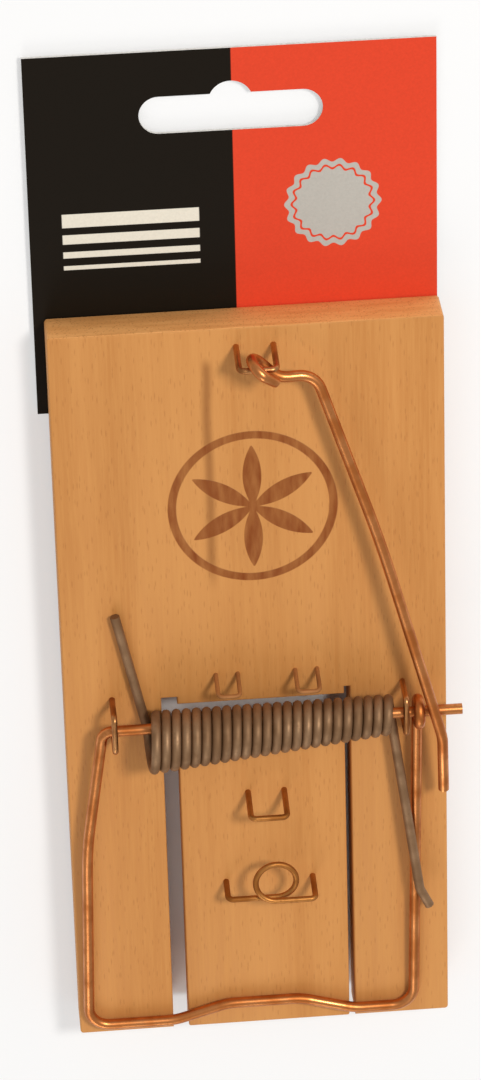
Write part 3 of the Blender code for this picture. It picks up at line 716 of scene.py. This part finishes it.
jaw_low, jaw_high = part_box("jaw")
half = JAW_WIRE / 2
left_x = jaw_low.x + half
bar_y = jaw_low.y + half
bar_z = jaw_low.z + half
axle_y, axle_z = JAW_AXIS.y, JAW_AXIS.z
sunk = (axle_z - bar_z) * SHOULDER[1] / (axle_y - bar_y)
shoulder = (SHOULDER[0], axle_y - SHOULDER[1], axle_z - sunk)
foot = Vector((left_x, bar_y, bar_z))
shin = (Vector(shoulder) + foot) / 2
axle_end = (jaw_high.x, axle_y, axle_z)
axle_left = (AXLE_LEFT_X, axle_y, axle_z)
path = bent([axle_end, axle_left, shoulder], AXLE_CORNER)[:-1]
path += bent([axle_left, shoulder, shin], SHOULDER_RADIUS)[1:-1]
path += bent([shin, foot, (-BOW_REACH, bar_y, bar_z)], FOOT_RADIUS)[1:-1]
path += bent([((left_x - BOW_REACH) / 2, bar_y, bar_z), (-BOW_REACH, bar_y, bar_z),
              (-BOW_FLAT, bar_y + BOW, bar_z), (BOW_FLAT, bar_y + BOW, bar_z),
              (BOW_REACH, bar_y, bar_z), ((RIGHT_LEG_X + BOW_REACH) / 2, bar_y, bar_z)], BOW_RADIUS)
path += bent([(BOW_REACH, bar_y, bar_z), (RIGHT_LEG_X, bar_y, bar_z),
              (EYE_X, axle_y, axle_z - EYE_RADIUS)], FOOT_RADIUS)[1:]
for step in range(1, EYE_STEPS + 1):
    angle = -math.pi / 2 + EYE_TURN * step / EYE_STEPS
    path.append(Vector((EYE_X, axle_y + EYE_RADIUS * math.cos(angle),
                        axle_z + EYE_RADIUS * math.sin(angle))))
jaw_mesh = wire_mesh("jaw_wire", path, JAW_WIRE)
jaw = add_piece("jaw_wire", jaw_mesh, coppered, "jaw", "coppered_wire", "jaw")
print(f"the jaw has {len(jaw.data.polygons)} faces")

# %% [markdown]
# ## Spring
# A torsion spring is wound tight, turn against turn, and tapers here from left to right. Its left
# arm lies on the board and its right arm presses on the jaw's leg. Rigid parts could not do that
# when the jaw opens. Here the spring is one mesh, laid in the frame's own place and tied to no
# body.

# %% Wind the spring
SPRING_WIRE = 1.78 * MM
TURNS = 24
POINTS_PER_TURN = 32
COIL_LEFT_X = -20.1 * MM
COIL_RIGHT_X = 24.2 * MM
COIL_LEFT_RADIUS = 5.0 * MM
COIL_RIGHT_RADIUS = 2.9 * MM
COIL_LEFT_OFFSET = Vector((0, -2.2 * MM, 1.25 * MM))
COIL_RIGHT_OFFSET = Vector((0, -0.1 * MM, 0.3 * MM))
COIL_START = math.radians(270)


def coil_point(share):
    """The coil's centre line, from its left end at 0 to its right end at 1."""
    angle = COIL_START - math.tau * TURNS * share
    radius = COIL_LEFT_RADIUS + (COIL_RIGHT_RADIUS - COIL_LEFT_RADIUS) * share
    centre = JAW_AXIS + COIL_LEFT_OFFSET.lerp(COIL_RIGHT_OFFSET, share)
    x = COIL_LEFT_X + (COIL_RIGHT_X - COIL_LEFT_X) * share
    return Vector((x, centre.y + radius * math.cos(angle), centre.z + radius * math.sin(angle)))


count = TURNS * POINTS_PER_TURN
coil = [coil_point(step / count) for step in range(count + 1)]
print(f"the coil has {TURNS} turns and {len(coil)} points")

# %% Add the spring's arms
BOARD_ARM_LENGTH = 24.0 * MM
BOARD_ARM_SPREAD = 5.1 * MM
BOARD_ARM_SEAT = 1.1 * MM
JAW_ARM_LENGTH = 39.0 * MM
JAW_ARM_GAP = 0.5 * MM
JAW_ARM_BEND = 3 * MM
JAW_ARM_TIP = Vector((0.4, -0.9, -0.1)).normalized() * 4.6 * MM

board_tip = Vector((COIL_LEFT_X - BOARD_ARM_SPREAD, coil[0].y + BOARD_ARM_LENGTH,
                    FACE_Z + BOARD_ARM_SEAT))
crossing = Vector((EYE_X, coil[-1].y - JAW_ARM_LENGTH, 0))
leg_share = (axle_y - crossing.y) / (axle_y - bar_y)
leg_z = axle_z - EYE_RADIUS + (bar_z - axle_z + EYE_RADIUS) * leg_share
crossing.z = leg_z + JAW_WIRE / 2 + SPRING_WIRE / 2 + JAW_ARM_GAP
jaw_arm = bent([coil[-1], crossing, crossing + JAW_ARM_TIP], JAW_ARM_BEND)[1:]
spring_mesh = wire_mesh("spring_wire", [board_tip] + coil + jaw_arm, SPRING_WIRE, resolution=4)
spring = add_piece("spring_wire", spring_mesh, spring_steel, None, "spring_steel", "spring")
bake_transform(spring)
print(f"the spring has {len(spring.data.polygons)} faces")

# %% [markdown]
# ## Locking bar
# The bar hooks on its staple with an upright eye, so that it can lift. It leaves the eye low, turns
# at a knee, climbs in a slight bow and lies over the axle's free end.

# %% Bend the bar's eye
BAR_WIRE = 2.0 * MM
EYE_HEADING = math.radians(-45)
BAR_EYE_X = 2.3 * MM
BAR_EYE_HALF_HEIGHT = 2.5 * MM
BAR_EYE_BACK = 2.7 * MM
BAR_EYE_LENGTH = 4.2 * MM
BAR_EYE_END = 3.0 * MM
BAR_EYE_END_RISE = 0.7 * MM
heading = Vector((math.cos(EYE_HEADING), math.sin(EYE_HEADING), 0))
hook = Vector((BAR_EYE_X, BAR_AXIS.y, BAR_AXIS.z))


def in_eye(along, rise):
    """A point in the eye's upright plane, from where the plane meets the crown."""
    return hook + heading * along + Vector((0, 0, rise))


path = [in_eye(BAR_EYE_END, BAR_EYE_END_RISE)]
for step in range(EYE_STEPS + 1):
    angle = math.pi / 2 + math.pi * step / EYE_STEPS
    path.append(in_eye(BAR_EYE_BACK * math.cos(angle), BAR_EYE_HALF_HEIGHT * math.sin(angle)))
print(f"the eye has {len(path)} points")

# %% Bend the bar's shank
KNEE = Vector((11.7 * MM, -3.0 * MM, -3.2 * MM))
NECK_RADIUS = 4.2 * MM
BAR_GAP = 0.3 * MM
BAR_BEND_X = 33.4 * MM
BAR_BEND_PAST_AXLE = 4.4 * MM
BAR_BEND_RADIUS = 9 * MM
BAR_BOW = 1.1 * MM
BAR_BOW_SHARE = 0.45
BAR_BOW_RADIUS = 300 * MM
BAR_TIP_X = 33.8 * MM
BAR_TIP_PAST_AXLE = 16.8 * MM
BAR_TIP_SINK = 2 * MM

over_axle_z = axle_z + JAW_WIRE / 2 + BAR_GAP + BAR_WIRE / 2
neck = in_eye(BAR_EYE_LENGTH, -BAR_EYE_HALF_HEIGHT)
knee = Vector((KNEE.x, BAR_AXIS.y + KNEE.y, BAR_AXIS.z + KNEE.z))
climb = (over_axle_z - knee.z) / (knee.y - axle_y)
bend = Vector((BAR_BEND_X, axle_y - BAR_BEND_PAST_AXLE, over_axle_z + climb * BAR_BEND_PAST_AXLE))
middle = knee.lerp(bend, BAR_BOW_SHARE) + Vector((BAR_BOW, 0, 0))
tip = (BAR_TIP_X, axle_y - BAR_TIP_PAST_AXLE, over_axle_z - BAR_TIP_SINK)
path += bent([path[-1], neck, knee, middle], NECK_RADIUS)[1:-1]
path += bent([knee, middle, bend], BAR_BOW_RADIUS)[1:-1]
path += bent([middle, bend, tip], BAR_BEND_RADIUS)[1:]
bar_mesh = wire_mesh("bar_wire", path, BAR_WIRE)
bar = add_piece("bar_wire", bar_mesh, coppered, "bar", "coppered_wire", "locking_bar")
print(f"the bar has {len(bar.data.polygons)} faces")

# %% [markdown]
# ## Card
# The hanging card is printed on one side: a dark half, a red half, pale stripes and a scalloped
# seal. Its core is white, which shows on the cut edges, and its back is bare grey board. Three
# materials on one mesh say that best, because the print then ends exactly at the edge. The pattern
# itself is drawn with sums on Object coordinates, in millimetres in the card's own turned frame.

# %% Print the card's face
CARD_WIDTH = 71.6 * MM
CARD_HEIGHT = 69.0 * MM
CARD_TURN = math.radians(-0.2)
CARD_CENTRE = Vector((-1.0 * MM, 89.3 * MM, 0))
SPLIT_X = 0.2
SIDE_EDGE = 0.1
DARK_INK = colour(0.0095, 0.0062, 0.0032)
RED_INK = colour(0.756, 0.063, 0.0245)
STRIPE_INK = colour(0.80, 0.74, 0.62)
SEAL_INK = colour(0.50, 0.47, 0.42)

card_print, tree, shader = new_material("card_print", Roughness=0.5, Specular_IOR_Level=0.1)
on_card = put(tree, "ShaderNodeSeparateXYZ",
              {0: stretched(tree, MM, MM, MM, CARD_TURN, CARD_CENTRE)}).outputs
mottle = noise(tree, (0.4, 0.4, 0.4), 3.0)
red_side = ramp(tree, on_card["X"], SPLIT_X - SIDE_EDGE, SPLIT_X + SIDE_EDGE)
ink = mixed(tree, red_side, DARK_INK, RED_INK)
print("the card's two halves are inked")

# %% Stripes on the dark half
STRIPES = ((3.2, 1.3), (-0.4, 0.9), (-3.4, 0.6), (-5.9, 0.4))
STRIPES_LEFT = -30.0
STRIPES_RIGHT = -6.0
STRIPE_EDGE = 0.06

stripes = 0.0
for middle_y, half_height in STRIPES:
    off = maths(tree, "ABSOLUTE", maths(tree, "SUBTRACT", on_card["Y"], middle_y))
    band = ramp(tree, off, half_height + STRIPE_EDGE, half_height - STRIPE_EDGE)
    stripes = maths(tree, "MAXIMUM", stripes, band)
right_of = ramp(tree, on_card["X"], STRIPES_LEFT - SIDE_EDGE, STRIPES_LEFT + SIDE_EDGE)
left_of = ramp(tree, on_card["X"], STRIPES_RIGHT + SIDE_EDGE, STRIPES_RIGHT - SIDE_EDGE)
stripes = maths(tree, "MULTIPLY", stripes, maths(tree, "MULTIPLY", right_of, left_of))
ink = mixed(tree, stripes, ink, STRIPE_INK)
print(f"printed {len(STRIPES)} stripes")

# %% A seal on the red half
SEAL_CENTRE = (17.5, 4.0)
SEAL_RADIUS = 8.2
SEAL_EDGE = 0.08
SCALLOPS = 18
SCALLOP_DEPTH = 0.35
SEAL_LINE_INSIDE = 1.3

across = maths(tree, "SUBTRACT", on_card["X"], SEAL_CENTRE[0])
upward = maths(tree, "SUBTRACT", on_card["Y"], SEAL_CENTRE[1])
radius = maths(tree, "SQRT", maths(tree, "ADD", maths(tree, "MULTIPLY", across, across),
                                   maths(tree, "MULTIPLY", upward, upward)))
angle = maths(tree, "ARCTAN2", upward, across)
wave = maths(tree, "COSINE", maths(tree, "MULTIPLY", angle, SCALLOPS))
radius = maths(tree, "SUBTRACT", radius, maths(tree, "MULTIPLY", wave, SCALLOP_DEPTH))
seal = ramp(tree, radius, SEAL_RADIUS + SEAL_EDGE, SEAL_RADIUS - SEAL_EDGE)
off_line = maths(tree, "SUBTRACT", radius, SEAL_RADIUS - SEAL_LINE_INSIDE)
beside_line = ramp(tree, maths(tree, "ABSOLUTE", off_line), 0.16, 0.28)
ink = mixed(tree, maths(tree, "MULTIPLY", seal, beside_line), ink, SEAL_INK)
speckle = spread(tree, mottle, 0.9, 1.1)
ink = put(tree, "ShaderNodeVectorMath", {0: ink, 3: speckle}, operation="SCALE").outputs[0]
dress(tree, shader, ink, None, mottle, strength=0.2, depth=0.02 * MM)
print(f"{card_print.name} has {len(tree.nodes)} nodes")


# %% Bare card for the back and the cut edges
def bare_card(name, pale, grey):
    """Uncoated card: pulp with small grey flecks."""
    material, tree, shader = new_material(name, Roughness=0.85)
    pulp = noise(tree, (0.7, 0.7, 0.7), 5.0)
    surface = mixed(tree, ramp(tree, pulp, 0.4, 0.72), pale, grey)
    dress(tree, shader, surface, None, pulp, strength=0.4, depth=0.03 * MM)
    return material


card_back = bare_card("card_back", colour(0.50, 0.48, 0.44), colour(0.38, 0.36, 0.33))
card_core = bare_card("card_core", colour(0.78, 0.76, 0.72), colour(0.62, 0.60, 0.56))
print(f"made {card_back.name} and {card_core.name}")

# %% Draw the hanging slot
HANG_SLOT_HALF = 16.0 * MM
HANG_SLOT_RADIUS = 3.5 * MM
HANG_SLOT_Y = CARD_HEIGHT / 2 - 12.0 * MM
BUMP_RADIUS = 3.9 * MM
BUMP_RISE = 1.9 * MM


def arc(centre_x, centre_y, radius, start, end, steps):
    """Points of a flat arc, both ends included."""
    angles = [start + (end - start) * step / steps for step in range(steps + 1)]
    return [(centre_x + radius * math.cos(a), centre_y + radius * math.sin(a)) for a in angles]


quarter = math.pi / 2
reach = HANG_SLOT_HALF - HANG_SLOT_RADIUS
meet = math.asin((HANG_SLOT_RADIUS - BUMP_RISE) / BUMP_RADIUS)
slot_outline = arc(reach, HANG_SLOT_Y, HANG_SLOT_RADIUS, -quarter, quarter, 20)
slot_outline += arc(0, HANG_SLOT_Y + BUMP_RISE, BUMP_RADIUS, meet, math.pi - meet, 24)
slot_outline += arc(-reach, HANG_SLOT_Y, HANG_SLOT_RADIUS, quarter, 3 * quarter, 20)
print(f"the hanging slot has {len(slot_outline)} points")

# %% Fill the card's outline and give it its thickness
PRINTED, BARE, CUT = range(3)

half_x, half_y = CARD_WIDTH / 2, CARD_HEIGHT / 2
card_outline = [(-half_x, -half_y), (half_x, -half_y), (half_x, half_y), (-half_x, half_y)]
low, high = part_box("header_card")
bm = bmesh.new()
rim = []
for outline in (card_outline, slot_outline):
    corners = [bm.verts.new((x, y, low.z)) for x, y in outline]
    rim += [bm.edges.new(pair) for pair in zip(corners, corners[1:] + corners[:1])]
bmesh.ops.triangle_fill(bm, edges=rim, use_beauty=True, normal=(0, 0, 1))
grown = bmesh.ops.extrude_face_region(bm, geom=bm.faces[:])
raised = [item for item in grown["geom"] if isinstance(item, bmesh.types.BMVert)]
bmesh.ops.translate(bm, verts=raised, vec=(0, 0, high.z - low.z))
bmesh.ops.recalc_face_normals(bm, faces=bm.faces)
for face in bm.faces:
    rise = face.normal.z
    face.material_index = PRINTED if rise > 0.5 else BARE if rise < -0.5 else CUT
laid = Matrix.Translation(CARD_CENTRE) @ Matrix.Rotation(CARD_TURN, 4, "Z")
bmesh.ops.transform(bm, matrix=laid, verts=bm.verts)
card_mesh = finished(bm, "hanging_card")
card = add_piece("hanging_card", card_mesh, card_print, "base", "card", "header_card")
card.data.materials.append(card_back)
card.data.materials.append(card_core)
print(f"the card has {len(card.data.polygons)} faces")

# %% Staple the card from below
CARD_STAPLE_BEND = 0.5 * MM

for name in ("card_staple_left", "card_staple_right"):
    low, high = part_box(name)
    wire = high.y - low.y
    y = (low.y + high.y) / 2
    left_x, right_x, crown_z = low.x + wire / 2, high.x - wire / 2, low.z + wire / 2
    path = bent([(left_x, y, high.z), (left_x, y, crown_z),
                 (right_x, y, crown_z), (right_x, y, high.z)], CARD_STAPLE_BEND)
    mesh = wire_mesh(f"{name}_wire", path, wire)
    add_piece(f"{name}_wire", mesh, staple_copper, "base", "staple_wire", name)
print("the card is stapled on")

# %% [markdown]
# ## Floor and light
# The floor is plain white. In this light it would look grey, so what the lens, a mirror or a glass
# sees of it is partly lit from inside. The rest keeps the trap's soft shadow. Under the board
# nothing is lit from inside, so the slots beside the treadle stay as dark as they would be.

# %% Lay the floor
bpy.context.scene.view_settings.view_transform = "Standard"
FLOOR_HALF = 3.0

floor_mesh = bpy.data.meshes.new("floor")
bm = bmesh.new()
bmesh.ops.create_grid(bm, x_segments=1, y_segments=1, size=FLOOR_HALF)
bmesh.ops.translate(bm, verts=bm.verts, vec=(0, 0, cad_low.z))
bm.to_mesh(floor_mesh)
bm.free()
floor = bpy.data.objects.new("floor", floor_mesh)
bpy.context.scene.collection.objects.link(floor)
print("the floor is laid")

# %% Paint the floor
GLOW_SHARE = 0.4
GLOW_FADE = 1.5 * MM

white = colour(0.92, 0.92, 0.92)
floor_paint, tree, shader = new_material("floor_paint", Base_Color=white, Roughness=0.9)
path_kind = put(tree, "ShaderNodeLightPath").outputs
sees = maths(tree, "MAXIMUM", path_kind["Is Camera Ray"], path_kind["Is Glossy Ray"])
sees = maths(tree, "MAXIMUM", sees, path_kind["Is Transmission Ray"])
glow = put(tree, "ShaderNodeEmission", {"Color": colour(1, 1, 1), "Strength": 1.0})
on_floor = put(tree, "ShaderNodeSeparateXYZ",
               {0: put(tree, "ShaderNodeTexCoord").outputs["Object"]}).outputs
beside = maths(tree, "SUBTRACT", maths(tree, "ABSOLUTE", on_floor["X"]), board_high.x)
beyond = maths(tree, "SUBTRACT", maths(tree, "ABSOLUTE", on_floor["Y"]), board_high.y)
open_floor = ramp(tree, maths(tree, "MAXIMUM", beside, beyond), -GLOW_FADE, 0.0)
glow_share = maths(tree, "MULTIPLY", sees, maths(tree, "MULTIPLY", open_floor, GLOW_SHARE))
blend = put(tree, "ShaderNodeMixShader", {0: glow_share})
tree.links.new(shader.outputs[0], blend.inputs[1])
tree.links.new(glow.outputs[0], blend.inputs[2])
tree.links.new(blend.outputs[0], tree.nodes["Material Output"].inputs["Surface"])
floor_mesh.materials.append(floor_paint)
print(f"the floor's own light fades within {GLOW_FADE / MM} mm of the board's sides")


# %% Light the scene
def add_lamp(name, place, aim, size, watts, tint):
    """A soft square lamp that looks at a point."""
    data = bpy.data.lights.new(name, "AREA")
    data.size = size
    data.energy = watts
    data.color = tint
    lamp = bpy.data.objects.new(name, data)
    bpy.context.scene.collection.objects.link(lamp)
    lamp.location = place
    lamp.rotation_mode = "QUATERNION"
    lamp.rotation_quaternion = (Vector(aim) - Vector(place)).to_track_quat("-Z", "Y")


add_lamp("key_lamp", place=(0.48, 0.66, 1.14), aim=(0, 0, 0), size=0.25, watts=10.3,
         tint=(1.0, 0.97, 0.93))
add_lamp("fill_lamp", place=(-0.25, -0.85, 0.62), aim=(0, -0.02, 0), size=0.5, watts=2.4,
         tint=(1.0, 0.98, 0.96))
world = bpy.data.worlds.new("studio")
bpy.context.scene.world = world
world.use_nodes = True
sky = world.node_tree.nodes["Background"]
sky.inputs["Color"].default_value = colour(1, 1, 1)
sky.inputs["Strength"].default_value = 0.5
print("two lamps and a pale sky light the scene")
